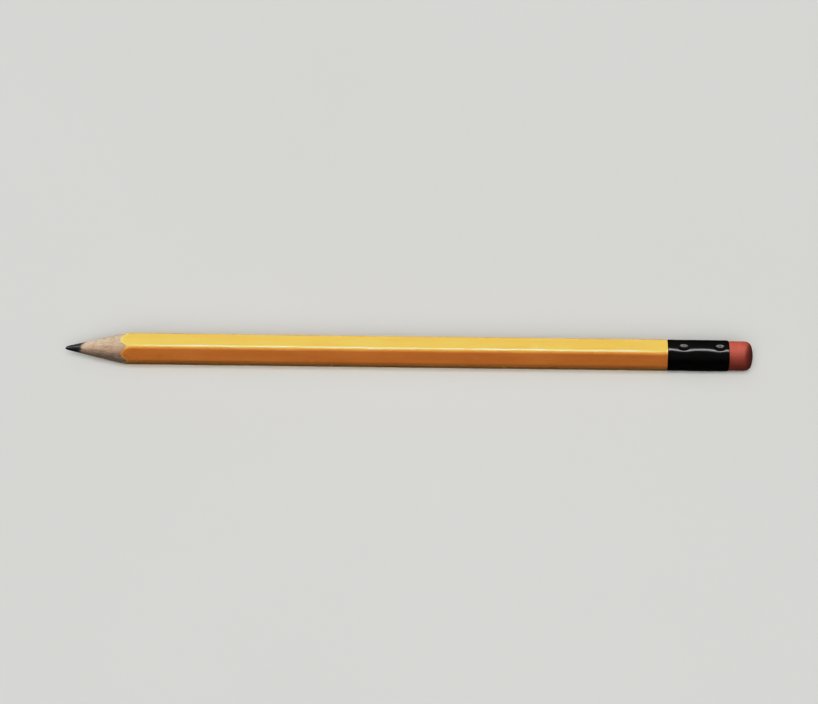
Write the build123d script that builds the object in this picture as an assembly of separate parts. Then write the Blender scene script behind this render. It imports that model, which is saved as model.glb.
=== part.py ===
"""Wood-cased writing pencil with a ferrule and a push-in rubber, lying on one of its flats.

The casing is a sandwich of two grooved wooden slats glued round a graphite core, milled to a
hexagon, lacquered, and sharpened to a cone at one end.  The other end is turned down to a round
tenon.  A thin aluminium ferrule, enamelled on the outside, is pushed over the tenon and over a
rubber plug, and punched dents in the ferrule bite into both.

Row frame, millimetres: +X runs along the pencil from the point to the rubber, +Z is up, and the
origin is on the resting surface, under the middle of the pencil's length.
"""

from build123d import *
import math
import os

os.makedirs("parts", exist_ok=True)

# ---------------------------------------------------------------- driving dimensions
overall_length = 160.0        # blunt point to end of rubber
across_flats = 6.9            # hexagon, over the lacquer
corner_radius = 1.3           # rounding of the hexagon's six edges, over the lacquer
lacquer_thickness = 0.10      # several coats of lacquer on the wood

core_diameter = 2.4           # graphite and clay core
core_offset_y = 0.15          # the core runs slightly off the casing's axis, in the glue plane
glue_thickness = 0.06         # adhesive film between the slats

cone_half_angle = 13.2        # sharpened cone, degrees
point_radius = 0.40           # ball radius of the worn point

rubber_exposed = 5.7          # rubber standing out of the ferrule
rubber_bulge_radius = 3.42    # rubber's radius outside the ferrule
rubber_end_fillet = 1.7       # worn rounding of the rubber's end
rubber_end_crown = 0.25       # height of the end's shallow dome

ferrule_length = 14.3
ferrule_radius = 3.6          # outside, over the enamel
enamel_thickness = 0.05
ferrule_wall = 0.23           # bare aluminium
tenon_length = 7.0            # turned-down wood inside the ferrule

dent_ball_radius = 1.8        # punch nose
dent_depth = 0.35             # from the ferrule's outside
dent_straight = 1.2           # straight length of the punch, along the pencil
dent_count = 4                # dents in each row
dent_first_angle = 86.0       # degrees up from the -Y side
dent_rows = (3.7, 12.1)       # distance of each row from the ferrule's front edge

# ---------------------------------------------------------------- derived dimensions
axis_height = ferrule_radius  # the ferrule is the lowest thing, so it sets the axis height
x_point = -overall_length / 2
x_end = overall_length / 2
x_ferrule_end = x_end - rubber_exposed
x_ferrule = x_ferrule_end - ferrule_length
x_tenon_end = x_ferrule + tenon_length
bare_radius = ferrule_radius - enamel_thickness
bore_radius = bare_radius - ferrule_wall
core_radius = core_diameter / 2
t = math.tan(math.radians(cone_half_angle))
s = math.sin(math.radians(cone_half_angle))
c = math.cos(math.radians(cone_half_angle))

# ---------------------------------------------------------------- helpers, about the pencil's axis


def rod(radius, x0, x1, y=0.0):
    """Round bar along X."""
    plane = Plane(origin=(x0, y, 0), x_dir=(0, 1, 0), z_dir=(1, 0, 0))
    return extrude(plane * Circle(radius), x1 - x0)


def hexagon(flats, radius, x0, x1):
    """Hexagonal bar along X with rounded edges, two of its flats facing up and down."""
    face = RegularPolygon(radius=flats / 2, side_count=6, major_radius=False)
    face = fillet(face.vertices(), radius)
    plane = Plane(origin=(x0, 0, 0), x_dir=(0, 1, 0), z_dir=(1, 0, 0))
    return extrude(plane * face, x1 - x0)


def turned(points):
    """Solid of revolution about X from (x, r) points; a third value marks the end of an arc through the point before it."""
    with BuildPart() as made:
        with BuildSketch(Plane.XY):
            with BuildLine():
                last = points[0]
                i = 1
                while i < len(points):
                    p = points[i]
                    if len(p) == 3:
                        through, p = p[:2], points[i + 1][:2]
                        ThreePointArc(last[:2], through, p)
                        i += 1
                    else:
                        Line(last[:2], p)
                    last = p
                    i += 1
                Line(last[:2], points[0][:2])
            make_face()
        revolve(axis=Axis.X)
    return made.part


def dents(grow):
    """The punch noses of both rows, each a capsule along X, grown outwards by a wall's thickness."""
    radius = dent_ball_radius + grow
    h = dent_straight / 2
    k = radius * math.sqrt(0.5)
    capsule = turned([(-h - radius, 0), (-h - k, k, 1), (-h, radius), (h, radius), (h + k, k, 1), (h + radius, 0)])
    centre = ferrule_radius - dent_depth + dent_ball_radius
    noses = []
    for row in dent_rows:
        for n in range(dent_count):
            a = math.radians(dent_first_angle + 360.0 * n / dent_count)
            noses.append(Pos(x_ferrule + row, -centre * math.cos(a), centre * math.sin(a)) * capsule)
    return noses


def cut(shape, tools):
    """Take each tool out of the shape in turn, keeping plain solids throughout."""
    for tool in tools:
        shape = shape.solid() - tool.solid()
    return shape


def write(shape, name):
    shape = Pos(0, 0, axis_height) * shape
    shape.label = name
    export_step(shape, f"parts/{name}.step")
    print(name, "solids", len(shape.solids()), "volume", round(shape.volume, 3))


# ---------------------------------------------------------------- sharpened envelope
ball_x = x_point + point_radius                 # centre of the point's ball
tangent = (ball_x - point_radius * s, point_radius * c)
big = 6.0
envelope = turned(
    [
        (x_point, 0),
        (ball_x - point_radius * math.cos(math.radians(35)), point_radius * math.sin(math.radians(35)), 1),
        tangent,
        (tangent[0] + (big - tangent[1]) / t, big),
        (x_end, big),
        (x_end, 0),
    ]
)

# ---------------------------------------------------------------- wooden casing, core, glue
wood_flats = across_flats - 2 * lacquer_thickness
wood_corner = corner_radius - lacquer_thickness
barrel = hexagon(wood_flats, wood_corner, x_point, x_ferrule) & envelope
tenon = cut(rod(bore_radius, x_ferrule - 1.0, x_tenon_end), dents(enamel_thickness + ferrule_wall))
core_hole = rod(core_radius, x_point - 1, x_tenon_end + 1, core_offset_y)
casing = (barrel + tenon) - core_hole

length = overall_length + 20
upper_half = Pos(0, 0, glue_thickness / 2 + 5) * Box(length, 12, 10)
lower_half = Pos(0, 0, -glue_thickness / 2 - 5) * Box(length, 12, 10)
glue_slab = Box(length, 12, glue_thickness)

upper_slat = casing & upper_half
lower_slat = casing & lower_half
slat_glue = casing & glue_slab
lead_core = rod(core_radius, x_point, x_tenon_end, core_offset_y) & envelope

# ---------------------------------------------------------------- lacquer
lacquer = hexagon(across_flats, corner_radius, x_point, x_ferrule) - hexagon(
    wood_flats, wood_corner, x_point - 1, x_ferrule + 1
)
lacquer = lacquer & envelope

# ---------------------------------------------------------------- ferrule and its enamel
skin_outside = cut(rod(ferrule_radius, x_ferrule, x_ferrule_end), dents(0.0))
skin_inside = cut(rod(bare_radius, x_ferrule - 1, x_ferrule_end + 1), dents(enamel_thickness))
tube_outside = cut(rod(bare_radius, x_ferrule, x_ferrule_end), dents(enamel_thickness))
tube_inside = cut(
    rod(bore_radius, x_ferrule - 1, x_ferrule_end + 1),
    dents(enamel_thickness + ferrule_wall),
)
ferrule_enamel = skin_outside - skin_inside
ferrule = tube_outside - tube_inside

# ---------------------------------------------------------------- rubber plug
f = rubber_end_fillet
r = rubber_bulge_radius
q = math.sqrt(0.5)
x_dome = x_end - rubber_end_crown                     # where the dome meets the rounding
dome = ((r - f) ** 2 + rubber_end_crown**2) / (2 * rubber_end_crown)
half = math.asin((r - f) / dome) / 2
rubber = turned(
    [
        (x_tenon_end, 0),
        (x_tenon_end, bore_radius),
        (x_ferrule_end, bore_radius),
        (x_ferrule_end + 0.3, r),
        (x_dome - f, r),
        (x_dome - f + f * q, r - f + f * q, 1),
        (x_dome, r - f),
        (x_end - dome + dome * math.cos(half), dome * math.sin(half), 1),
        (x_end, 0),
    ]
)
eraser_plug = cut(rubber, dents(enamel_thickness + ferrule_wall))

# ---------------------------------------------------------------- write one STEP per piece
write(upper_slat, "upper_slat")
write(lower_slat, "lower_slat")
write(slat_glue, "slat_glue")
write(lead_core, "lead_core")
write(lacquer, "lacquer_coat")
write(ferrule, "ferrule")
write(ferrule_enamel, "ferrule_enamel")
write(eraser_plug, "eraser_plug")
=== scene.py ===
import math

import bmesh
import bpy
import numpy as np
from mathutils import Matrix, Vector


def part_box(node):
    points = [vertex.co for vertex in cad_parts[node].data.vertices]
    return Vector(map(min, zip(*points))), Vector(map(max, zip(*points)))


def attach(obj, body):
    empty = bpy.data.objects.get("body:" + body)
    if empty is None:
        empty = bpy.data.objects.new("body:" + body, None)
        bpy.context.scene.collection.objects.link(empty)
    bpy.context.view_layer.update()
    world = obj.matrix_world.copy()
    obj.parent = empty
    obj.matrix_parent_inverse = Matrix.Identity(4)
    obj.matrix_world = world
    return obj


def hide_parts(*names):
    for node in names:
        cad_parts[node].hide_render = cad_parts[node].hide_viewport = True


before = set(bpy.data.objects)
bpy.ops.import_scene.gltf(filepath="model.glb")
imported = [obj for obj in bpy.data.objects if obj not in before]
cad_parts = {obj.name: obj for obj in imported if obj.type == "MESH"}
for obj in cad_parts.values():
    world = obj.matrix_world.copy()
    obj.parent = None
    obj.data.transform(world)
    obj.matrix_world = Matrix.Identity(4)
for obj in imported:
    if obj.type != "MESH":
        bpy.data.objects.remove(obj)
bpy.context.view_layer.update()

# ------------------------------------------------------------------------------------------------
# Dimensions, in millimetres.  Lengths are measured from the point ("s"), radii from the pencil's
# own axis.  Where the frame's nodes say, they come from them.
# ------------------------------------------------------------------------------------------------


def box_mm(node):
    lo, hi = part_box(node)
    return [v * 1000 for v in lo], [v * 1000 for v in hi]


_lead, _ferrule, _rubber = box_mm("lead_core"), box_mm("ferrule_enamel"), box_mm("eraser_plug")
_lacquer, _glue = box_mm("lacquer_coat"), box_mm("slat_glue")
X0 = _lead[0][0]                                   # the point
AXIS_Z = (_ferrule[0][2] + _ferrule[1][2]) / 2     # height of the pencil's axis
S_FERRULE = _ferrule[0][0] - X0
S_MOUTH = _ferrule[1][0] - X0
S_TENON = _rubber[0][0] - X0
S_END = _rubber[1][0] - X0
R_FERRULE = (_ferrule[1][2] - _ferrule[0][2]) / 2
R_RUBBER = (_rubber[1][2] - _rubber[0][2]) / 2
APOTHEM = (_lacquer[1][2] - _lacquer[0][2]) / 2
CORE_R = (_lead[1][1] - _lead[0][1]) / 2
CORE_Y = (_lead[1][1] + _lead[0][1]) / 2
GLUE = _glue[1][2] - _glue[0][2]

CORNER = 1.3            # rounding of the hexagon's edges
COAT = 0.10             # lacquer thickness
TAN = math.tan(math.radians(13.2))
SIN = math.sin(math.radians(13.2))
TIP = 0.40              # point's ball radius
OFF = TIP * (1 / SIN - 1)
ENAMEL, WALL = 0.05, 0.23
DENT_DEPTH = 0.35
DENT_ROWS = (S_FERRULE + 3.7, S_FERRULE + 12.1)
DENT_ANGLES = [math.radians(94.0 + 90.0 * k) for k in range(4)]

# ------------------------------------------------------------------------------------------------
# Helpers
# ------------------------------------------------------------------------------------------------


def noise(u, v, cells_u, cells_v, seed):
    """Smooth noise in -1..1.  u runs 0..1 and wraps round, v runs 0..1."""
    cells_u, cells_v = max(2, int(cells_u)), max(1, int(cells_v))
    table = np.random.RandomState(seed).uniform(-1, 1, (cells_u, cells_v + 3))
    u, v = np.broadcast_arrays(u, v)
    fu = (u % 1.0) * cells_u
    fv = np.clip(v, 0.0, 1.0) * cells_v
    iu, iv = np.floor(fu).astype(int), np.floor(fv).astype(int)
    tu, tv = fu - iu, fv - iv
    tu, tv = tu * tu * tu * (tu * (tu * 6 - 15) + 10), tv * tv * tv * (tv * (tv * 6 - 15) + 10)
    a, b = iu % cells_u, (iu + 1) % cells_u
    low = table[a, iv] * (1 - tu) + table[b, iv] * tu
    high = table[a, iv + 1] * (1 - tu) + table[b, iv + 1] * tu
    return low * (1 - tv) + high * tv


def smooth(x, a, b):
    t = np.clip((x - a) / (b - a), 0.0, 1.0)
    return t * t * (3 - 2 * t)


def hex_angles(apothem, corner, flat_n, arc_n):
    """Angles round the hexagon, close together on its rounded edges.  0 is the +Y edge."""
    dc = (apothem - corner) / math.cos(math.radians(30))
    tangent = (apothem - corner) * math.tan(math.radians(30))
    out = []
    for k in range(6):
        base = math.radians(30 + 60 * k)
        for i in range(flat_n):
            out.append(base + math.atan2(-tangent + 2 * tangent * i / flat_n, apothem))
        for i in range(arc_n):
            beta = math.radians(-30 + 60 * i / arc_n)      # direction of the arc's own normal
            y, z = dc + corner * math.cos(beta), corner * math.sin(beta)
            out.append(base + math.radians(30) + math.atan2(z, y))
    return np.array(out)


def hex_radius(theta, apothem, corner):
    dc = (apothem - corner) / math.cos(math.radians(30))
    limit = math.atan2((apothem - corner) * math.tan(math.radians(30)), apothem)
    phi = (theta % math.radians(60)) - math.radians(30)
    flat = apothem / np.cos(phi)
    delta = math.radians(30) - np.abs(phi)
    arc = dc * np.cos(delta) + np.sqrt(np.maximum(corner**2 - (dc * np.sin(delta)) ** 2, 0))
    return np.where(np.abs(phi) <= limit, flat, arc)


def from_edge(theta):
    """0 in the middle of a facet, 1 on an edge of the hexagon."""
    return np.abs((theta % math.radians(60)) - math.radians(30)) / math.radians(30)


def cone_radius(s):
    ball = np.sqrt(np.maximum(2 * TIP * s - s * s, 0))
    return np.where(s < TIP * (1 - SIN), ball, (s + OFF) * TAN)


def core_radius(theta):
    return CORE_Y * np.cos(theta) + np.sqrt(CORE_R**2 - (CORE_Y * np.sin(theta)) ** 2)


def dents(theta, s):
    """How far the punched ferrule stands inside its round shape, in millimetres."""
    out = np.zeros(np.broadcast(theta, s).shape)
    for n, row in enumerate(DENT_ROWS):
        for k, angle in enumerate(DENT_ANGLES):
            a = (theta - angle + math.pi) % (2 * math.pi) - math.pi
            a = a * R_FERRULE
            q = np.sqrt((a / 1.0) ** 2 + ((s - row) / 1.45) ** 2)
            depth = (DENT_DEPTH - 0.09) * (1 + 0.06 * math.sin(2.3 * k + 1.7 * n))
            out += depth * np.maximum(1 - q * q, 0) ** 1.5
            out += 0.15 * np.exp(-1.25 * ((a / 1.75) ** 2 + ((s - row) / 2.2) ** 2))       # metal drawn down round it
    return out


def ferrule_radius(theta, s):
    """Outside radius of the enamelled ferrule."""
    v = (s - S_FERRULE) / (S_MOUTH - S_FERRULE)
    u = theta / (2 * math.pi)
    r = R_FERRULE - dents(theta, s)
    r = r - 0.014 * (0.5 + 0.5 * noise(u, v, 7, 6, 11)) - 0.0022 * (0.5 + 0.5 * noise(u, v, 18, 12, 12))
    r = r - 0.10 * smooth(s, S_MOUTH - 0.55, S_MOUTH - 0.02)      # mouth drawn in over the rubber
    r = r - 0.03 * smooth(-s, -S_FERRULE - 0.35, -S_FERRULE)
    return r


def points(s, theta, r):
    s, theta, r = np.broadcast_arrays(s, theta, r)
    return np.stack([s, r * np.cos(theta), r * np.sin(theta)], axis=-1)


def strip_faces(rings, count, wrap):
    """Quads between neighbouring rings of a rings x count grid."""
    i = np.arange(rings - 1 + (1 if wrap else 0))[:, None]
    j = np.arange(count)[None, :]
    a = (i % rings) * count + j
    b = (i % rings) * count + (j + 1) % count
    c = ((i + 1) % rings) * count + (j + 1) % count
    d = ((i + 1) % rings) * count + j
    return np.stack([a, b, c, d], axis=-1).reshape(-1, 4)


def make_object(name, verts, faces, attributes=None, sharp=None):
    """Mesh object in the frame's metres, from millimetre coordinates about the pencil's axis."""
    verts = np.asarray(verts, dtype=float).reshape(-1, 3)
    v = verts * 0.001
    v[:, 0] += X0 * 0.001
    v[:, 2] += AXIS_Z * 0.001
    faces = [tuple(int(i) for i in f) for f in faces]
    signed = 0.0
    for f in faces[:: max(1, len(faces) // 4000)]:
        a = verts[f[0]] - verts[0]
        for k in range(1, len(f) - 1):
            b, c = verts[f[k]] - verts[0], verts[f[k + 1]] - verts[0]
            signed += float(np.dot(a, np.cross(b, c)))
    if signed < 0:
        faces = [f[::-1] for f in faces]
    mesh = bpy.data.meshes.new(name)
    mesh.from_pydata(v.tolist(), [], faces)
    mesh.update()
    for key, values in (attributes or {}).items():
        layer = mesh.attributes.new(key, "FLOAT", "POINT")
        layer.data.foreach_set("value", np.asarray(values, dtype=np.float32).ravel())
    mesh.polygons.foreach_set("use_smooth", [True] * len(mesh.polygons))
    if sharp is not None:
        tag = np.zeros(len(v), dtype=int)
        for k, ids in enumerate(sharp):
            tag[ids] = k + 1
        ends = np.empty(len(mesh.edges) * 2, dtype=int)
        mesh.edges.foreach_get("vertices", ends)
        ends = tag[ends].reshape(-1, 2)
        hard = (ends[:, 0] > 0) & (ends[:, 0] == ends[:, 1])
        layer = mesh.attributes.new("sharp_edge", "BOOLEAN", "EDGE")
        layer.data.foreach_set("value", hard)
    mesh.validate()
    obj = bpy.data.objects.new(name, mesh)
    bpy.context.scene.collection.objects.link(obj)
    return obj


def ring_ids(ring, count):
    return np.arange(ring * count, (ring + 1) * count)


def piece(obj, slot, *nodes):
    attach(obj, "root")
    if nodes:
        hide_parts(*nodes)
    return obj


# ------------------------------------------------------------------------------------------------
# Lacquer coat: hexagonal skin, scalloped where the sharpener's cone cuts it
# ------------------------------------------------------------------------------------------------
th = hex_angles(APOTHEM, CORNER, 24, 16)
N = len(th)
u_th = th / (2 * math.pi)
r_out0 = hex_radius(th, APOTHEM, CORNER)
r_in0 = hex_radius(th, APOTHEM - COAT, CORNER - COAT)
edge = from_edge(th)

rag = 0.07 * noise(u_th, np.zeros(N), 46, 1, 21) + 0.05 * noise(u_th, np.zeros(N), 110, 1, 22)
rag += 0.16 * noise(u_th, np.zeros(N), 9, 1, 23)
for centre, width, depth in ((1.62, 0.035, 0.30), (4.1, 0.05, 0.35), (2.72, 0.03, 0.22), (5.35, 0.04, 0.25), (0.5, 0.04, 0.3)):
    gap = (th - centre + math.pi) % (2 * math.pi) - math.pi
    rag += depth * np.exp(-((gap / width) ** 2))                  # small chips off the paint's edge
s_out = r_out0 / TAN - OFF + rag
s_in = r_in0 / TAN - OFF + 0.75 * rag


def lacquer_relief(theta, s):
    """Unevenness of the coat on the wood, in millimetres; positive stands proud."""
    u = theta / (2 * math.pi)
    v = s / 140.0
    e = from_edge(theta)
    near = smooth(e, 0.72, 1.0)
    out = 0.010 * (1 - e**2)
    out = out + 0.012 * noise(u, v, 6, 9, 31) + 0.006 * noise(u, v, 12, 34, 32)
    out = out + near * (0.009 * noise(u, v, 12, 44, 33) + 0.007 * noise(u, v, 12, 96, 34))
    out = out + (1 - near) * (0.0011 * noise(u, v, 190, 22, 35) + 0.0012 * noise(u, v, 60, 90, 36))
    return out


rng = np.random.RandomState(5)
nicks = []
for _ in range(26):
    on_edge = rng.rand() < 0.6
    a = math.radians(60 * rng.randint(6)) + (rng.normal() * 0.03 if on_edge else rng.uniform(0.15, 0.9))
    nicks.append((a, rng.uniform(18, 138), rng.uniform(0.25, 0.75), rng.uniform(0.3, 1.0), rng.uniform(0.012, 0.04)))


def nick_depth(theta, s):
    out = np.zeros(np.broadcast(theta, s).shape)
    for a, at, wide, long, deep in nicks:
        d = ((theta - a + math.pi) % (2 * math.pi) - math.pi) * 3.6
        q = (d / wide) ** 2 + ((s - at) / long) ** 2
        out += deep * np.exp(-q * 1.6)
    return out


M = 376
g = np.linspace(0, 1, M)[:, None]
g = 0.72 * g + 0.28 * g * g
s_grid = s_out[None, :] + (S_FERRULE - s_out[None, :]) * g
t_grid = np.broadcast_to(th[None, :], s_grid.shape)
nick = nick_depth(t_grid, s_grid)
r_grid = r_out0[None, :] + lacquer_relief(t_grid, s_grid) - nick
r_grid = r_grid - 0.045 * np.exp(-(s_grid - s_out[None, :]) / 0.22)      # the cut edge is slightly rounded over
outer = points(s_grid, t_grid, r_grid)
cut = []
for f in (0.30, 0.65):
    cut.append(points(s_out + (s_in - s_out) * f, th, r_grid[0] + (r_in0 - r_grid[0]) * f + 0.006))
inner = [points(s_in + (S_FERRULE - s_in) * f, th, r_in0) for f in (0, 0.002, 0.02, 0.1, 0.4, 0.8, 1.0)]
rings = np.concatenate([outer[::-1], np.array(cut), np.array(inner)])     # back -> front outside, then inside to the back
K = len(rings)
wear = np.concatenate([
    (np.clip(nick / 0.03, 0, 1) + 0.5 * smooth(edge, 0.86, 1.0)[None, :] * np.ones_like(nick))[::-1],
    np.ones((2, N)), np.zeros((7, N))])
cutmask = np.zeros((K, N))
cutmask[M - 1] = 0.55
cutmask[M:M + 3] = 1.0
lacquer = make_object("lacquer_shell", rings, strip_faces(K, N, True),
                      {"wear": wear, "cut": cutmask}, sharp=[ring_ids(0, N), ring_ids(M - 1, N), ring_ids(M + 2, N), ring_ids(K - 1, N)])
piece(lacquer, "lacquer", "lacquer_coat")

# ------------------------------------------------------------------------------------------------
# Wood: two slats, each with a half-round groove, a knife-cut cone in front and a tenon behind
# ------------------------------------------------------------------------------------------------


def wood_radius(theta, s):
    u = theta / (2 * math.pi)
    v = s / 24.0
    cone = cone_radius(s)
    fade = smooth(s, 3.0, 5.0)
    cone = cone + fade * (0.016 * noise(u, v, 74, 9, 41) + 0.010 * noise(u, v, 150, 16, 42))      # raised grain
    cone = cone + 0.006 * np.sin(2 * math.pi * (s / 0.46 + 2.0 * u) + 1.4 * noise(u, v, 8, 6, 43))   # blade marks
    cone = cone - 0.03 * smooth(s - (7.4 + 1.5 * u), 0.0, 0.14) * (1 - smooth(s - (7.4 + 1.5 * u), 0.3, 2.6)) * smooth(u, 0.02, 0.1)
    cone = cone - 0.022 * np.maximum(noise(u, v, 120, 12, 44) - 0.35, 0)                              # open pores
    flat = hex_radius(theta, APOTHEM - COAT, CORNER - COAT) - 0.003
    body = np.minimum(cone, flat)
    tenon = ferrule_radius(theta, np.clip(s, S_FERRULE, S_TENON)) - ENAMEL - WALL - 0.006
    return np.where(s < S_FERRULE - 1e-6, body, np.where(s > S_FERRULE + 1e-6, tenon, body))


def slat(name, upper, seed):
    half = 150
    theta = np.linspace(0, math.pi, half) if upper else np.linspace(math.pi, 2 * math.pi, half)
    u = theta / (2 * math.pi)
    # start of the wood, where the cone leaves the lead, with its fibres feathering out over it
    start = core_radius(theta) / TAN - OFF
    start = start + 0.16 * noise(u, 0 * u, 64, 1, seed) + 0.11 * noise(u, 0 * u, 150, 1, seed + 1) + 0.14 * noise(u, 0 * u, 14, 1, seed + 2)
    f1 = np.linspace(0, 1, 110) ** 1.05
    s_cone = start[None, :] + (15.6 - start[None, :]) * f1[:, None]
    s_body = np.array([16.5, 20, 40, 80, 120, 138, S_FERRULE - 0.01])[:, None] + 0 * theta[None, :]
    s_ten = np.linspace(S_FERRULE + 0.01, S_TENON - 0.01, 30)[:, None] + 0 * theta[None, :]
    s = np.concatenate([s_cone, s_body, s_ten])
    tt = np.broadcast_to(theta[None, :], s.shape)
    r = wood_radius(tt, s)
    inner_r = np.broadcast_to(core_radius(theta)[None, :] + 0.004, s.shape)
    inner_r = np.minimum(inner_r, r - 0.012)
    out, inn = points(s, tt, r), points(s, tt, inner_r)
    side = GLUE / 2 if upper else -GLUE / 2
    for block in (out, inn):
        z = block[..., 2]
        block[..., 2] = np.maximum(z, side) if upper else np.minimum(z, side)
    ring = np.concatenate([out, inn[:, ::-1]], axis=1)
    count, rings_n = 2 * half, len(ring)
    faces = strip_faces(rings_n, count, False).tolist()
    for r_index in (0, rings_n - 1):
        base = r_index * count
        for j in range(half - 1):
            quad = [base + j, base + j + 1, base + count - 2 - j, base + count - 1 - j]
            faces.append(quad[::-1] if r_index == 0 else quad)
    # soot: graphite dragged back over the wood just behind the lead
    smear = np.exp(-np.maximum(s - start[None, :], 0) / 0.55) + 0.5 * np.maximum(noise(np.broadcast_to(u[None, :], s.shape), s / 24.0, 60, 10, seed + 5), 0) * np.exp(-np.maximum(s - start[None, :], 0) / 2.4)
    smear = np.concatenate([smear, 0 * smear], axis=1)
    obj = make_object(name, ring, faces, {"smear": smear}, sharp=None)
    return obj


upper = slat("wood_upper_slat", True, 51)
lower = slat("wood_lower_slat", False, 61)
for o in (upper, lower):
    bm = bmesh.new()
    bm.from_mesh(o.data)
    bmesh.ops.remove_doubles(bm, verts=bm.verts, dist=1e-8)
    bmesh.ops.recalc_face_normals(bm, faces=bm.faces)
    for e in bm.edges:
        e.smooth = e.calc_face_angle(0.0) < math.radians(42)
    bm.to_mesh(o.data)
    bm.free()
piece(upper, "cedar", "upper_slat")
piece(lower, "cedar", "lower_slat")

# ------------------------------------------------------------------------------------------------
# Graphite core: sharpened with the wood, its point worn to a slant by writing
# ------------------------------------------------------------------------------------------------
NL = 144
tl = np.linspace(0, 2 * math.pi, NL, endpoint=False)
s1 = np.concatenate([
    0.0006 + TIP * (1 - SIN) * (np.linspace(0.03, 1, 16) ** 2), np.linspace(0.26, 5.6, 130),
    [6.5, 10, 30, 80, 130, S_TENON - 0.02]])
sg, tg = np.meshgrid(s1, tl, indexing="ij")
ug = tg / (2 * math.pi)
rl = cone_radius(sg)
rl = rl + 0.004 * np.sin(2 * math.pi * (sg / 0.31 + ug)) * smooth(sg, 0.4, 1.2)
rl = rl + smooth(sg, 0.05, 0.8) * (0.008 * noise(ug, sg / 6.0, 36, 12, 71) + 0.005 * noise(ug, sg / 6.0, 80, 40, 72)) - 0.006
rl = np.maximum(rl, 0.02)
rl = np.minimum(rl, core_radius(tg) - 0.001)
lead = points(sg, tg, rl)
for nx, ny, nz, d in ((-0.80, -0.42, 0.43, 0.070), (-0.72, 0.45, 0.53, 0.115), (-0.86, 0.10, -0.50, 0.100)):
    nrm = np.array([nx, ny, nz]) / math.sqrt(nx * nx + ny * ny + nz * nz)
    over = np.maximum((lead - np.array([TIP, 0, 0])) @ nrm - (TIP - d), 0)
    lead = lead - over[..., None] * nrm * smooth(0.9 - lead[..., :1], 0, 0.3)
verts = np.concatenate([lead.reshape(-1, 3), [[float(lead[0, :, 0].mean()) - 0.002, float(lead[0, :, 1].mean()), float(lead[0, :, 2].mean())], [S_TENON - 0.02, 0, 0]]])
faces = strip_faces(len(s1), NL, False).tolist()
tip_i, end_i = len(verts) - 2, len(verts) - 1
last = (len(s1) - 1) * NL
for j in range(NL):
    faces.append([tip_i, (j + 1) % NL, j])
    faces.append([end_i, last + j, last + (j + 1) % NL])
worn = np.concatenate([(smooth(0.9 - sg, 0, 0.7)).ravel(), [1, 0]])
graphite = make_object("graphite_point", verts, faces, {"worn": worn})
piece(graphite, "graphite", "lead_core")

# ------------------------------------------------------------------------------------------------
# Ferrule: aluminium tube and the black enamel on it
# ------------------------------------------------------------------------------------------------
NF = 264
tf = np.linspace(0, 2 * math.pi, NF, endpoint=False)


def ferrule_solid(name, s_a, s_b, outside, inside, rings_out, rings_in, round_over, extra=None):
    so = np.linspace(s_a, s_b, rings_out)
    gs, gt = np.meshgrid(so, tf, indexing="ij")
    ro = outside(gt, gs)
    lip = round_over
    drop = np.where(gs > s_b - lip, lip - np.sqrt(np.maximum(lip**2 - (gs - (s_b - lip)) ** 2, 0)), 0)
    drop += np.where(gs < s_a + lip, lip - np.sqrt(np.maximum(lip**2 - ((s_a + lip) - gs) ** 2, 0)), 0)
    out = points(gs, gt, ro - drop)
    si = np.linspace(s_b, s_a, rings_in)
    hs, ht = np.meshgrid(si, tf, indexing="ij")
    inn = points(hs, ht, np.minimum(inside(ht, hs), np.concatenate([(ro - drop)[-1:] - 0.01] + [inside(ht[1:-1], hs[1:-1])] + [(ro - drop)[:1] - 0.01])))
    rings = np.concatenate([out, inn])
    attrs = {}
    if extra is not None:
        attrs = {k: np.concatenate([f(gt, gs), np.zeros_like(hs)]) for k, f in extra.items()}
    return make_object(name, rings, strip_faces(len(rings), NF, True), attrs,
                       sharp=[ring_ids(len(out), NF), ring_ids(len(rings) - 1, NF)])


def rim_wear(theta, s):
    u = theta / (2 * math.pi)
    lip = np.exp(-(S_MOUTH - s) / 0.10) * (0.5 + 0.5 * noise(u, 0 * u, 40, 1, 81)) + 0.8 * np.exp(-(s - S_FERRULE) / 0.08) * (0.5 + 0.5 * noise(u, 0 * u, 34, 1, 82))
    for row in DENT_ROWS:
        for angle in DENT_ANGLES:
            a = ((theta - angle + math.pi) % (2 * math.pi) - math.pi) * R_FERRULE
            q = np.sqrt((a / 1.0) ** 2 + ((s - row) / 1.45) ** 2)
            lip = lip + 0.30 * np.exp(-(((q - 1.0) / 0.10) ** 2))
    return lip


def punch_scuff(theta, s):
    """1 in the middle of each dent, where the punch dulled the enamel."""
    out = np.zeros(theta.shape)
    for row in DENT_ROWS:
        for angle in DENT_ANGLES:
            a = ((theta - angle + math.pi) % (2 * math.pi) - math.pi) * R_FERRULE
            out = out + np.maximum(1 - (a / 1.0) ** 2 - ((s - row) / 1.45) ** 2, 0)
    return out


enamel = ferrule_solid("ferrule_skin", S_FERRULE, S_MOUTH, ferrule_radius,
                       lambda a, s: ferrule_radius(a, s) - ENAMEL, 236, 60, 0.10, {"rim": rim_wear, "scuff": punch_scuff})
piece(enamel, "enamel", "ferrule_enamel")
tube = ferrule_solid("ferrule_tube", S_FERRULE + 0.02, S_MOUTH - 0.06, lambda a, s: ferrule_radius(a, s) - ENAMEL - 0.003,
                     lambda a, s: ferrule_radius(a, s) - ENAMEL - WALL, 130, 60, 0.03)
piece(tube, "aluminium", "ferrule")

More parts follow.
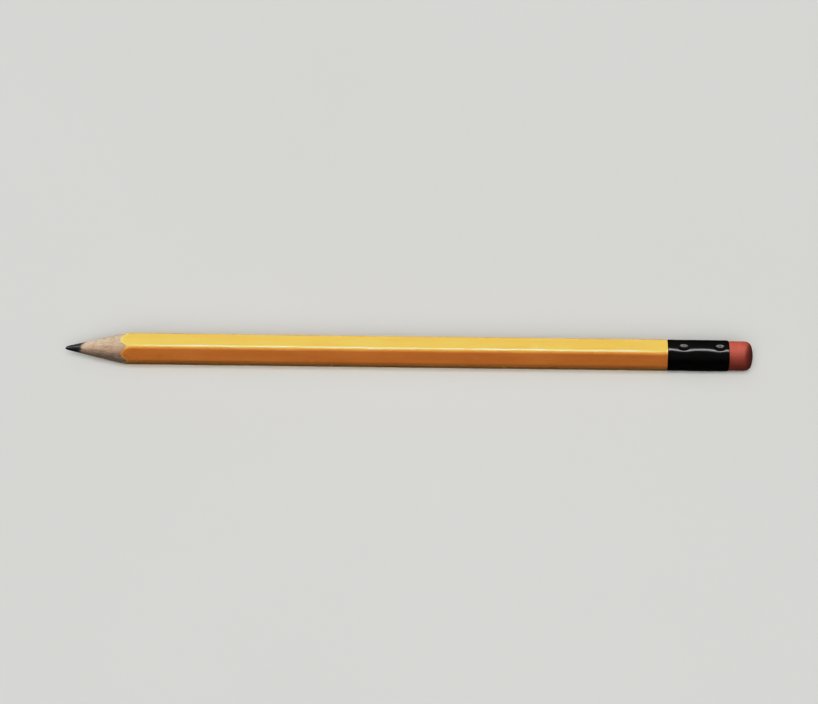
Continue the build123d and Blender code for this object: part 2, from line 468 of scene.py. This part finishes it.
# ------------------------------------------------------------------------------------------------
# Rubber plug: pinched by the ferrule, its end rounded over by use
# ------------------------------------------------------------------------------------------------
NR = 224
tr = np.linspace(0, 2 * math.pi, NR, endpoint=False)
ur = tr / (2 * math.pi)
prof = []                                                   # (s, r, exposed)
for s in np.linspace(S_TENON + 0.01, S_MOUTH - 0.35, 44):
    prof.append((s, None, 0))
f_r, crown = 1.72, 0.28
base_s = S_END - crown - f_r
for k in range(12):                                         # swells out of the ferrule's mouth
    q = (k + 1) / 12
    prof.append((S_MOUTH - 0.30 + 0.72 * q, 3.325 + (R_RUBBER - 3.325) * float(smooth(np.array(q), 0.1, 1.0)), 1))
for s in np.linspace(S_MOUTH + 0.52, base_s, 34):
    prof.append((s, R_RUBBER, 1))
for k in range(1, 27):                                      # rounded shoulder
    a = math.pi / 2 * k / 26 * 0.93
    prof.append((base_s + f_r * math.sin(a), R_RUBBER - f_r + f_r * math.cos(a), 1))
s_l, r_l = prof[-1][0], prof[-1][1]
for k in range(1, 31):                                      # crowned end
    q = k / 31
    prof.append((s_l + (S_END - s_l) * (1 - (1 - q) ** 2), r_l * (1 - q), 1))
rub, expose = [], []
for s, r, shown in prof:
    if r is None:
        rr = ferrule_radius(tr, np.full(NR, s)) - ENAMEL - WALL - 0.004
        rub.append(points(s, tr, rr))
    else:
        v = (s - S_MOUTH + 0.3) / 6.2
        lump = 0.022 * noise(ur, np.full(NR, v), 6, 4, 91) + 0.010 * noise(ur, np.full(NR, v), 18, 12, 92) + 0.006 * noise(ur, np.full(NR, v), 70, 40, 93)
        pit = -0.05 * np.maximum(noise(ur, np.full(NR, v), 60, 30, 94) - 0.62, 0)
        k = min(1.0, max(0.0, (s - S_MOUTH) / 0.4)) * min(1.0, r / 0.8)
        ring = points(s, tr, r + (lump + pit - 0.028) * k)
        # the end is worn away on a slant, more on the upper front
        plane = np.array([0.80, -0.38, 0.46])
        plane = plane / np.linalg.norm(plane)
        over = np.maximum((ring - np.array([S_END, 0, 0])) @ plane - (-0.02), 0)
        soft = over * over / (over + 0.9)
        ring = ring - soft[..., None] * plane * 0.7
        rub.append(ring)
    expose.append(np.full(NR, shown))
rub = np.array(rub)
tail = rub[-1].mean(axis=0) + np.array([0.003, 0, 0])
verts = np.concatenate([rub.reshape(-1, 3), [[S_TENON + 0.01, 0, 0], tail]])
faces = strip_faces(len(rub), NR, False).tolist()
last = (len(rub) - 1) * NR
for j in range(NR):
    faces.append([len(verts) - 2, (j + 1) % NR, j])
    faces.append([len(verts) - 1, last + j, last + (j + 1) % NR])
# mask for the darker end of the rubber: graphite grime from rubbing out, and painted shade on the rounded end where it
# turns away from the light
end_grime_and_shade_mask = np.concatenate([smooth(rub[..., 0], S_END - 3.6, S_END - 0.2).ravel(), [0, 1]])
rubber = make_object("rubber_end", verts, faces, {"grime_and_shade": end_grime_and_shade_mask})
rubber.data.polygons.foreach_set("use_smooth", [True] * len(rubber.data.polygons))
piece(rubber, "rubber", "eraser_plug")

# ------------------------------------------------------------------------------------------------
# Materials
# ------------------------------------------------------------------------------------------------


class Mat:
    """A node material with short ways to add what the pieces need."""

    def __init__(self, name):
        self.m = bpy.data.materials.new(name)
        self.m.use_nodes = True
        self.t = self.m.node_tree
        self.t.nodes.clear()
        self.out = self.t.nodes.new("ShaderNodeOutputMaterial")
        self.b = self.t.nodes.new("ShaderNodeBsdfPrincipled")
        self.t.links.new(self.b.outputs[0], self.out.inputs[0])
        self.co = self.t.nodes.new("ShaderNodeTexCoord")

    def n(self, kind, **kw):
        node = self.t.nodes.new(kind)
        for k, v in kw.items():
            setattr(node, k, v)
        return node

    def link(self, a, b):
        self.t.links.new(a, b)

    def put(self, socket, value):
        if hasattr(value, "is_output"):
            self.link(value, socket)
        else:
            socket.default_value = value

    def coords(self, sx, sy, sz, shift=(0, 0, 0)):
        m = self.n("ShaderNodeMapping")
        self.link(self.co.outputs["Object"], m.inputs["Vector"])
        m.inputs["Scale"].default_value = (sx, sy, sz)
        m.inputs["Location"].default_value = shift
        return m.outputs[0]

    def noise(self, vec, scale, detail=4.0, rough=0.55, distort=0.0):
        n = self.n("ShaderNodeTexNoise")
        self.link(vec, n.inputs["Vector"])
        n.inputs["Scale"].default_value = scale
        n.inputs["Detail"].default_value = detail
        n.inputs["Roughness"].default_value = rough
        n.inputs["Distortion"].default_value = distort
        return n.outputs["Fac"]

    def voronoi(self, vec, scale, feature="F1"):
        n = self.n("ShaderNodeTexVoronoi", feature=feature)
        self.link(vec, n.inputs["Vector"])
        n.inputs["Scale"].default_value = scale
        return n.outputs["Distance"]

    def ramp(self, fac, a, b, lo=0.0, hi=1.0):
        n = self.n("ShaderNodeMapRange")
        n.interpolation_type = "SMOOTHSTEP"
        self.put(n.inputs["Value"], fac)
        n.inputs["From Min"].default_value = a
        n.inputs["From Max"].default_value = b
        n.inputs["To Min"].default_value = lo
        n.inputs["To Max"].default_value = hi
        return n.outputs["Result"]

    def mix(self, fac, a, b, blend="MIX"):
        n = self.n("ShaderNodeMix", data_type="RGBA", blend_type=blend)
        self.put(n.inputs[0], fac)
        self.put(n.inputs[6], a if hasattr(a, "is_output") else (*a, 1.0))
        self.put(n.inputs[7], b if hasattr(b, "is_output") else (*b, 1.0))
        return n.outputs[2]

    def math(self, op, a, b=0.0, clamp=False):
        n = self.n("ShaderNodeMath", operation=op, use_clamp=clamp)
        self.put(n.inputs[0], a)
        self.put(n.inputs[1], b)
        return n.outputs[0]

    def attr(self, name):
        n = self.n("ShaderNodeAttribute", attribute_name=name)
        return n.outputs["Fac"]

    def bump(self, height, distance, strength=1.0, normal=None):
        n = self.n("ShaderNodeBump")
        self.link(height, n.inputs["Height"])
        n.inputs["Distance"].default_value = distance
        n.inputs["Strength"].default_value = strength
        if normal is not None:
            self.link(normal, n.inputs["Normal"])
        return n.outputs[0]

    def set(self, **kw):
        for k, v in kw.items():
            self.put(self.b.inputs[k.replace("_", " ")], v)


def lacquer_material():
    k = Mat("yellow_lacquer")
    wide = k.noise(k.coords(60, 300, 300), 1.0, 3.0)
    fine = k.noise(k.coords(160, 2600, 2600), 1.0, 5.0, 0.6)
    cloud = k.noise(k.coords(420, 420, 420, (3, 1, 7)), 1.0, 4.0)
    col = k.mix(k.ramp(wide, 0.35, 0.68), (0.850, 0.470, 0.134), (0.900, 0.520, 0.160))
    col = k.mix(k.ramp(fine, 0.50, 0.72, 0.0, 0.22), col, (0.700, 0.340, 0.080))
    col = k.mix(k.ramp(cloud, 0.55, 0.80, 0.0, 0.16), col, (0.620, 0.360, 0.110))
    # handling marks: greyish, in patches towards the front where it is held
    grip = k.n("ShaderNodeSeparateXYZ")
    k.link(k.co.outputs["Object"], grip.inputs[0])
    held = k.ramp(grip.outputs[0], -0.030, -0.066)
    patch = k.ramp(k.noise(k.coords(240, 700, 700, (9, 2, 4)), 1.0, 6.0, 0.7), 0.54, 0.70)
    col = k.mix(k.math("MULTIPLY", k.math("MULTIPLY", held, patch), 0.16), col, (0.22, 0.15, 0.07))
    # worn ridges and knocks show paler undercoat in specks
    speck = k.ramp(k.noise(k.coords(1500, 2600, 2600, (2, 5, 1)), 1.0, 5.0, 0.7), 0.60, 0.68)
    worn = k.math("MULTIPLY", k.attr("wear"), speck, True)
    col = k.mix(k.math("MULTIPLY", worn, 0.55), col, (0.90, 0.62, 0.16))
    # sliced edge of the coat
    col = k.mix(k.attr("cut"), col, (0.87, 0.58, 0.19))
    scratch = k.noise(k.coords(300, 9000, 9000, (1, 8, 3)), 1.0, 3.0, 0.5)
    rough = k.ramp(k.noise(k.coords(500, 1100, 1100, (4, 4, 9)), 1.0, 5.0, 0.65), 0.3, 0.75, 0.11, 0.20)
    rough = k.math("ADD", rough, k.math("MULTIPLY", k.attr("cut"), 0.3), True)
    # ridges dulled by handling in some places and still polished in others
    dull = k.ramp(k.noise(k.coords(520, 260, 260, (6, 3, 3)), 1.0, 2.0, 0.75), 0.41, 0.56)
    rough = k.math("ADD", rough, k.math("MULTIPLY", k.math("MULTIPLY", k.attr("wear"), dull), 0.70), True)
    n1 = k.bump(k.noise(k.coords(900, 1600, 1600, (7, 7, 2)), 1.0, 3.0, 0.5), 0.00002, 0.30)
    n2 = k.bump(k.ramp(scratch, 0.62, 0.74), 0.000006, 0.35, n1)
    k.set(Base_Color=col, Roughness=rough, IOR=1.50, Normal=n2)
    return k.m


def wood_material():
    k = Mat("knife_cut_wood")
    grain = k.noise(k.coords(130, 3400, 3400), 1.0, 6.0, 0.65, 0.25)
    band = k.noise(k.coords(60, 900, 900, (5, 3, 1)), 1.0, 3.0)
    mott = k.noise(k.coords(760, 1150, 1150, (1, 2, 6)), 1.0, 5.0, 0.65)
    pore = k.noise(k.coords(420, 7800, 7800, (8, 1, 4)), 1.0, 4.0, 0.6)
    col = k.mix(k.ramp(band, 0.36, 0.66), (0.478, 0.372, 0.296), (0.420, 0.316, 0.246))
    col = k.mix(k.ramp(grain, 0.46, 0.66, 0.0, 0.55), col, (0.372, 0.268, 0.188))
    col = k.mix(k.ramp(mott, 0.48, 0.62, 0.0, 0.58), col, (0.275, 0.212, 0.168))
    col = k.mix(k.ramp(pore, 0.58, 0.70, 0.0, 0.65), col, (0.260, 0.175, 0.115))
    streak = k.ramp(k.noise(k.coords(340, 2600, 2600, (2, 9, 9)), 1.0, 4.0, 0.7), 0.34, 0.62)
    smear = k.math("MULTIPLY", k.attr("smear"), streak, True)
    col = k.mix(k.ramp(smear, 0.10, 0.75, 0.0, 0.92), col, (0.055, 0.052, 0.052))
    n1 = k.bump(grain, 0.00006, 0.6)
    n2 = k.bump(pore, 0.00003, 0.6, n1)
    k.set(Base_Color=col, Roughness=k.ramp(grain, 0.3, 0.7, 0.62, 0.84), Normal=n2)
    k.b.inputs["Specular IOR Level"].default_value = 0.28
    return k.m


def glue_material():
    k = Mat("slat_glue_film")
    f = k.noise(k.coords(900, 900, 900), 1.0, 4.0)
    k.set(Base_Color=k.mix(k.ramp(f, 0.35, 0.65), (0.28, 0.17, 0.09), (0.42, 0.28, 0.16)), Roughness=k.ramp(f, 0.3, 0.7, 0.4, 0.65))
    return k.m


def graphite_material():
    k = Mat("burnished_graphite")
    turn = k.noise(k.coords(5200, 500, 500), 1.0, 4.0, 0.6)
    draw = k.noise(k.coords(260, 6000, 6000, (3, 3, 3)), 1.0, 5.0, 0.6)
    grit = k.noise(k.coords(5200, 5200, 5200, (6, 1, 2)), 1.0, 5.0, 0.7)
    col = k.mix(k.ramp(grit, 0.40, 0.66), (0.050, 0.050, 0.052), (0.110, 0.110, 0.115))
    col = k.mix(k.math("MULTIPLY", k.attr("worn"), 0.55), col, (0.160, 0.160, 0.168))
    rough = k.ramp(k.math("ADD", k.math("MULTIPLY", turn, 0.5), k.math("MULTIPLY", draw, 0.5)), 0.35, 0.65, 0.30, 0.52)
    n1 = k.bump(turn, 0.00003, 0.5)
    n2 = k.bump(draw, 0.00002, 0.5, n1)
    n3 = k.bump(grit, 0.00002, 0.4, n2)
    k.set(Base_Color=col, Roughness=rough, Metallic=0.60, Normal=n3)
    return k.m


def enamel_material():
    k = Mat("black_enamel_on_aluminium")
    cloud = k.noise(k.coords(500, 500, 500), 1.0, 4.0)
    dust = k.noise(k.coords(2600, 5200, 5200, (2, 2, 8)), 1.0, 5.0, 0.7)
    col = k.mix(k.ramp(cloud, 0.35, 0.7), (0.0040, 0.0034, 0.0030), (0.0095, 0.0075, 0.0060))
    col = k.mix(k.ramp(dust, 0.66, 0.80, 0.0, 0.30), col, (0.06, 0.055, 0.05))
    chip = k.ramp(k.math("ADD", k.math("MULTIPLY", k.attr("rim"), 0.55), k.noise(k.coords(3000, 3000, 3000, (4, 1, 1)), 1.0, 5.0, 0.7)), 0.90, 0.96)
    col = k.mix(chip, col, (0.62, 0.61, 0.59))
    rub = k.ramp(k.noise(k.coords(700, 1500, 1500, (1, 6, 6)), 1.0, 4.0, 0.6), 0.35, 0.70, 0.15, 0.23)
    hair = k.noise(k.coords(8000, 700, 700, (5, 5, 5)), 1.0, 3.0)
    n1 = k.bump(k.noise(k.coords(900, 900, 900, (9, 9, 9)), 1.0, 2.0), 0.000008, 0.10)
    n2 = k.bump(hair, 0.000002, 0.25, n1)
    rub = k.math("ADD", rub, k.math("MULTIPLY", k.attr("scuff"), 0.13))
    k.set(Base_Color=col, Roughness=k.math("ADD", rub, k.math("MULTIPLY", chip, 0.12)), Metallic=chip, IOR=1.42, Normal=n2)
    return k.m


def aluminium_material():
    k = Mat("bare_aluminium")
    brush = k.noise(k.coords(6000, 500, 500), 1.0, 4.0)
    k.set(Base_Color=k.mix(k.ramp(brush, 0.35, 0.65), (0.66, 0.66, 0.65), (0.80, 0.80, 0.79)), Metallic=1.0,
          Roughness=k.ramp(brush, 0.3, 0.7, 0.22, 0.40), Normal=k.bump(brush, 0.00001, 0.4))
    return k.m


def rubber_material():
    k = Mat("red_rubber")
    cloud = k.noise(k.coords(420, 420, 420), 1.0, 4.0, 0.6)
    grit = k.noise(k.coords(4200, 4200, 4200, (3, 1, 5)), 1.0, 5.0, 0.75)
    pits = k.voronoi(k.coords(2300, 2300, 2300, (1, 1, 2)), 1.0)
    col = k.mix(k.ramp(cloud, 0.34, 0.68), (0.325, 0.093, 0.063), (0.365, 0.114, 0.079))
    col = k.mix(k.ramp(grit, 0.48, 0.70, 0.0, 0.40), col, (0.280, 0.072, 0.047))
    col = k.mix(k.ramp(pits, 0.20, 0.0, 0.0, 0.30), col, (0.230, 0.062, 0.045))
    # towards its end the rubber is painted darker and redder, in patches: partly graphite grime, partly painted shade
    # on the rounded end that falls away from the lamp
    grime_shade_patches = k.ramp(k.noise(k.coords(520, 900, 900, (7, 2, 2)), 1.0, 6.0, 0.7), 0.36, 0.62, 0.45, 1.0)
    grime_and_shade = k.math("MULTIPLY", k.attr("grime_and_shade"), grime_shade_patches, True)
    col = k.mix(k.math("MULTIPLY", grime_and_shade, 0.58), col, (0.185, 0.036, 0.022))
    n1 = k.bump(grit, 0.00005, 0.55)
    n2 = k.bump(k.ramp(pits, 0.25, 0.0), 0.00004, 0.25, n1)
    k.set(Base_Color=col, Roughness=k.ramp(grit, 0.3, 0.7, 0.62, 0.82), Normal=n2)
    k.b.inputs["Specular IOR Level"].default_value = 0.55
    return k.m


def floor_material():
    k = Mat("pale_floor")
    f = k.noise(k.coords(6, 6, 6), 1.0, 3.0)
    k.set(Base_Color=k.mix(k.ramp(f, 0.3, 0.7), (0.655, 0.655, 0.630), (0.675, 0.675, 0.650)), Roughness=0.9)
    k.b.inputs["Specular IOR Level"].default_value = 0.0
    # the floor throws back less light than its tone would, so that the facets turned under it stay deep
    path = k.n("ShaderNodeLightPath")
    dim = k.n("ShaderNodeMixShader")
    dark = k.n("ShaderNodeBsdfDiffuse")
    dark.inputs["Color"].default_value = (0.0, 0.0, 0.0, 1.0)
    k.link(k.math("MULTIPLY", path.outputs["Is Diffuse Ray"], 0.42), dim.inputs[0])
    k.link(k.b.outputs[0], dim.inputs[1])
    k.link(dark.outputs[0], dim.inputs[2])
    k.link(dim.outputs[0], k.out.inputs[0])
    return k.m


def wear_material(obj, material):
    obj.data.materials.clear()
    obj.data.materials.append(material)


wear_material(lacquer, lacquer_material())
wood = wood_material()
wear_material(upper, wood)
wear_material(lower, wood)
wear_material(graphite, graphite_material())
wear_material(enamel, enamel_material())
wear_material(tube, aluminium_material())
wear_material(rubber, rubber_material())
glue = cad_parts["slat_glue"]
for slot in glue.material_slots:
    slot.material = glue_material()

# ------------------------------------------------------------------------------------------------
# Floor, light, camera
# ------------------------------------------------------------------------------------------------
mesh = bpy.data.meshes.new("floor")
mesh.from_pydata([(-30, -30, 0), (30, -30, 0), (30, 30, 0), (-30, 30, 0)], [], [(0, 1, 2, 3)])
floor = bpy.data.objects.new("floor", mesh)
bpy.context.scene.collection.objects.link(floor)
floor.data.materials.append(floor_material())
floor.visible_glossy = False          # no pale sheen on the facets that turn under


def area(name, place, size_x, size_y, power, colour=(1, 1, 1), only=None, glossy=True, diffuse=True):
    """A rectangular lamp at place, in metres from the pencil's middle, aimed at it."""
    data = bpy.data.lights.new(name, "AREA")
    data.shape = "RECTANGLE"
    data.size, data.size_y = size_x, size_y
    data.energy = power
    data.color = colour
    obj = bpy.data.objects.new(name, data)
    place = Vector(place)
    obj.location = place + Vector((0, 0, AXIS_Z * 0.001))
    obj.rotation_euler = (-place).to_track_quat("-Z", "Y").to_euler()
    obj.visible_camera = False
    obj.visible_glossy, obj.visible_diffuse = glossy, diffuse
    bpy.context.scene.collection.objects.link(obj)
    if only:
        lit = bpy.data.collections.new(name + "_lights")
        for o in only:
            lit.objects.link(o)
        obj.light_linking.receiver_collection = lit
    return obj


pencil = [lacquer, upper, lower, graphite, enamel, tube, rubber, glue]
# shapes and colours: a large soft lamp over the pencil, a little behind it and towards its point
area("softbox", (-0.36, 0.44, 1.08), 1.9, 0.7, 23.5, only=pencil, glossy=False)
# warm light thrown back on the near side of the paint and the rubber
area("warm_bounce", (-0.1, -0.62, 1.05), 1.6, 0.6, 2.9, (1.0, 0.26, 0.26), only=[lacquer, rubber], glossy=False)
# the bare wood, the lead and the rubber are matt, and show more of the room's own light
area("front_soft", (-0.30, -0.55, 1.05), 1.6, 0.8, 6.5, only=[upper, lower, graphite, rubber], glossy=False)
# highlights: a long narrow lamp overhead, and a row of small ones that the uneven ridges break into glints
area("strip_overhead", (0.0, 0.124, 1.0), 1.5, 0.24, 16.0, only=[enamel, tube, graphite, rubber, upper, lower, glue, floor], diffuse=False)
area("strip_on_paint", (0.0, 0.124, 1.0), 1.5, 0.20, 6.0, (1.0, 0.86, 0.42), only=[lacquer], diffuse=False)
for k in range(-4, 5):
    area(f"glint_{k + 4}", (0.033 * k, 0.124, 1.0), 0.010, 0.030, 0.45, only=[lacquer], diffuse=False)
# the floor has two wide skylights of its own, on both sides, so that its tone is even and its shadows thin
for name, place, strength in (("floor_behind", (-0.2, 0.45, 1.3), 0.35), ("floor_front", (0.0, -0.80, 1.1), 3.18)):
    data = bpy.data.lights.new(name, "SUN")
    data.energy, data.angle = strength, math.radians(60)
    obj = bpy.data.objects.new(name, data)
    obj.rotation_euler = (-Vector(place)).to_track_quat("-Z", "Y").to_euler()
    obj.visible_glossy = False
    bpy.context.scene.collection.objects.link(obj)
    lit = bpy.data.collections.new(name + "_lights")
    lit.objects.link(floor)
    obj.light_linking.receiver_collection = lit

world = bpy.data.worlds.new("studio")
bpy.context.scene.world = world
world.use_nodes = True
wt = world.node_tree
wt.nodes.clear()
w_out = wt.nodes.new("ShaderNodeOutputWorld")
w_mix = wt.nodes.new("ShaderNodeMixShader")
w_path = wt.nodes.new("ShaderNodeLightPath")
w_a = wt.nodes.new("ShaderNodeBackground")
w_b = wt.nodes.new("ShaderNodeBackground")
w_a.inputs[0].default_value = (1, 1, 1, 1)
w_a.inputs[1].default_value = 0.08
w_b.inputs[0].default_value = (0.66, 0.66, 0.64, 1)
w_b.inputs[1].default_value = 1.0
# reflections see a dim, soft ceiling that fades out towards the horizon
w_co = wt.nodes.new("ShaderNodeTexCoord")
w_up = wt.nodes.new("ShaderNodeSeparateXYZ")
w_sky = wt.nodes.new("ShaderNodeMapRange")
w_sky.interpolation_type = "SMOOTHSTEP"
w_sky.inputs["From Min"].default_value, w_sky.inputs["From Max"].default_value = 0.0, 0.75
w_sky.inputs["To Min"].default_value, w_sky.inputs["To Max"].default_value = 0.05, 0.34
w_kind = wt.nodes.new("ShaderNodeMix")
w_kind.inputs["A"].default_value = 0.08
wt.links.new(w_co.outputs["Generated"], w_up.inputs[0])
wt.links.new(w_up.outputs["Z"], w_sky.inputs["Value"])
wt.links.new(w_sky.outputs["Result"], w_kind.inputs["B"])
wt.links.new(w_path.outputs["Is Glossy Ray"], w_kind.inputs["Factor"])
wt.links.new(w_kind.outputs["Result"], w_a.inputs[1])
wt.links.new(w_path.outputs["Is Camera Ray"], w_mix.inputs[0])
wt.links.new(w_a.outputs[0], w_mix.inputs[1])
wt.links.new(w_b.outputs[0], w_mix.inputs[2])
wt.links.new(w_mix.outputs[0], w_out.inputs[0])

# Contrasty development, as a pocket camera gives: dark tones sink, bright ones roll off.
view = bpy.context.scene.view_settings
view.view_transform = "Standard"
view.look = "None"
view.use_curve_mapping = True
tone = view.curve_mapping
tone.clip_max_x, tone.clip_max_y = 4.0, 1.0
tone.extend = "HORIZONTAL"
master = tone.curves[3]
master.points[0].location = (0.0, 0.0)
master.points[1].location = (2.4, 1.0)
for x, y in ((0.06, 0.022), (0.12, 0.062), (0.25, 0.178), (0.44, 0.440), (0.56, 0.585), (0.70, 0.695), (0.90, 0.800), (1.3, 0.920)):
    master.points.new(x, y)
tone.update()

cam_data = bpy.data.cameras.new("camera")
camera = bpy.data.objects.new("camera", cam_data)
bpy.context.scene.collection.objects.link(camera)
cam_data.sensor_width = 36.0
cam_data.lens = 138.0
cam_data.clip_start, cam_data.clip_end = 0.01, 100.0
elev, dist = math.radians(52.0), 0.73
target = Vector((0.0, 0.0, AXIS_Z * 0.001))
camera.location = target + Vector((0, -math.cos(elev), math.sin(elev))) * dist
quat = (target - camera.location).to_track_quat("-Z", "Y")
camera.rotation_mode = "QUATERNION"
roll = math.radians(0.7)
from mathutils import Quaternion
camera.rotation_quaternion = quat @ Quaternion((0, 0, 1), roll)
bpy.context.scene.camera = camera
